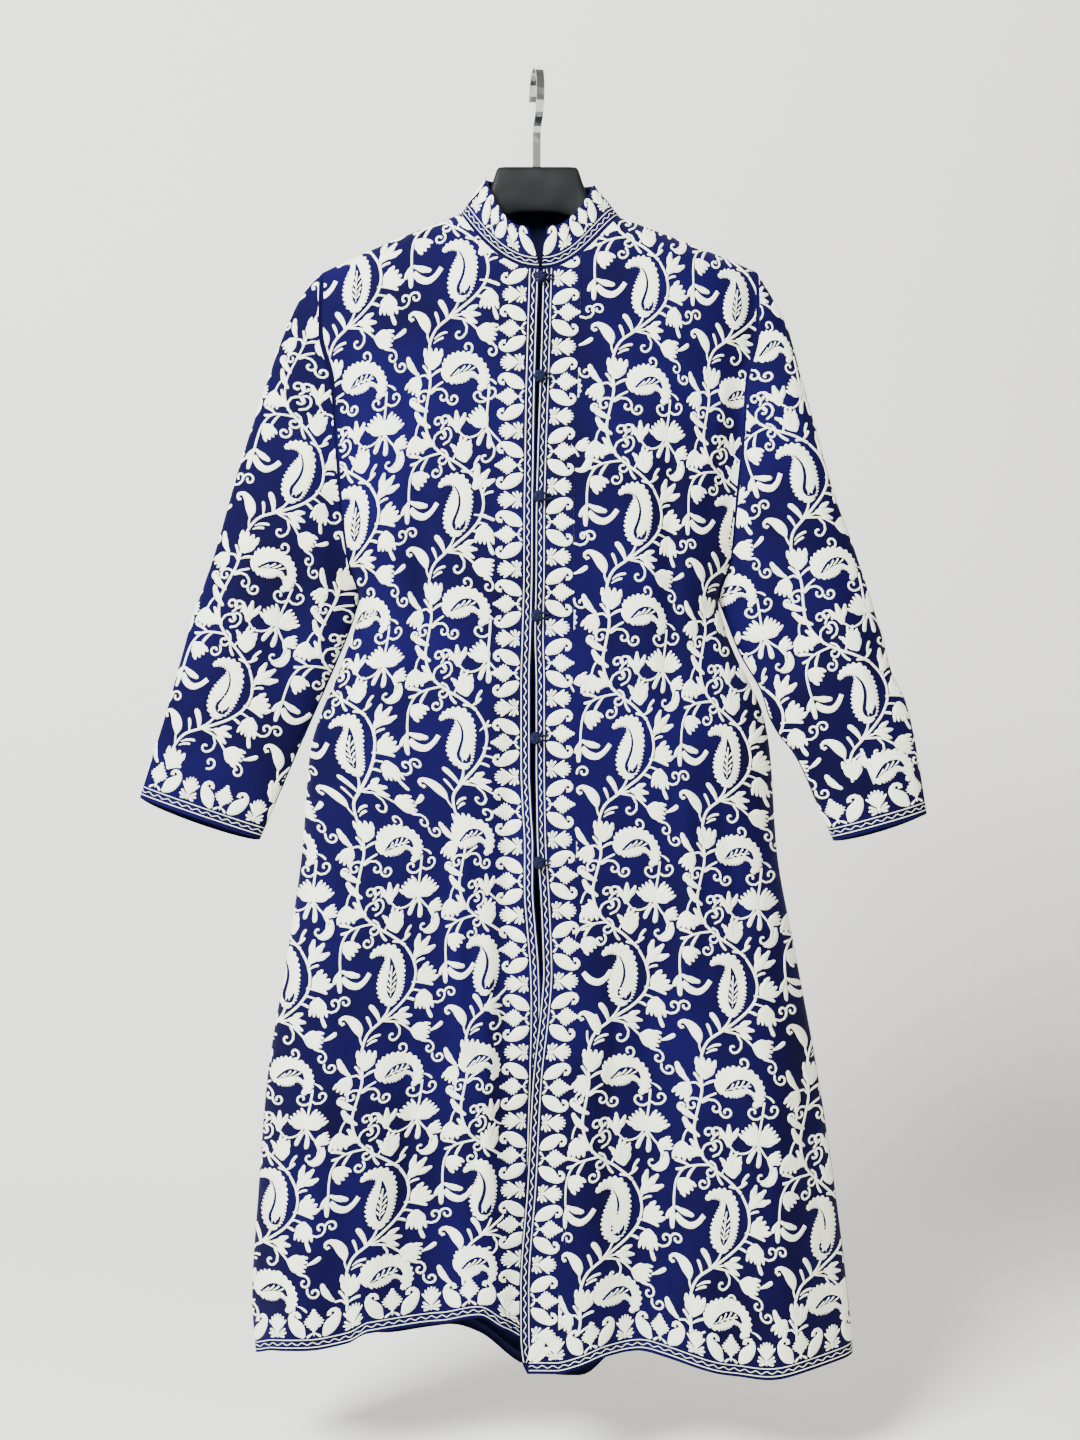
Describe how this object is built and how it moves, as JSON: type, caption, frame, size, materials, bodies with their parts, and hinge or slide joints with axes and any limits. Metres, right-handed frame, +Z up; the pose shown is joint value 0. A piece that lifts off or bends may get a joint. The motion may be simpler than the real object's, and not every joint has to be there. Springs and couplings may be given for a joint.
{
  "type": "embroidered kaftan on a hanger",
  "caption": "Long navy kaftan coat covered in cream vine and paisley embroidery, with a stand collar, wide-cuffed set-in sleeves and knot buttons, hung on a black hanger with a flat hook.",
  "frame": {"origin": "inside top of the hanger's hook, where a rail or peg carries the part", "axes": "+Z up, -Y the garment's front, -X the wearer's right side"},
  "size_m": [0.802, 0.1227, 1.3409],
  "materials": {
    "embroidered_cloth": "matt navy cotton weave",
    "embroidery": "cream wool chain stitch",
    "lining": "smooth plain navy lining",
    "cord": "turned navy cloth cord",
    "hanger": "fine matt black moulding",
    "hook": "polished flat band"
  },
  "bodies": {
    "root": {"front_right": "embroidered_cloth", "front_left": "embroidered_cloth", "back": "embroidered_cloth", "sleeve_right_upper_front": "embroidered_cloth", "sleeve_right_lower_front": "embroidered_cloth", "sleeve_right_upper_back": "embroidered_cloth", "sleeve_right_lower_back": "embroidered_cloth", "sleeve_left_upper_front": "embroidered_cloth", "sleeve_left_lower_front": "embroidered_cloth", "sleeve_left_upper_back": "embroidered_cloth", "sleeve_left_lower_back": "embroidered_cloth", "collar": "embroidered_cloth", "back_lining": "lining", "button_1": "cord", "button_2": "cord", "button_3": "cord", "button_4": "cord", "button_5": "cord", "button_6": "cord", "loop_1": "cord", "loop_2": "cord", "loop_3": "cord", "loop_4": "cord", "loop_5": "cord", "loop_6": "cord", "hanger": "hanger", "hook": "hook"}
  },
  "joints": []
}
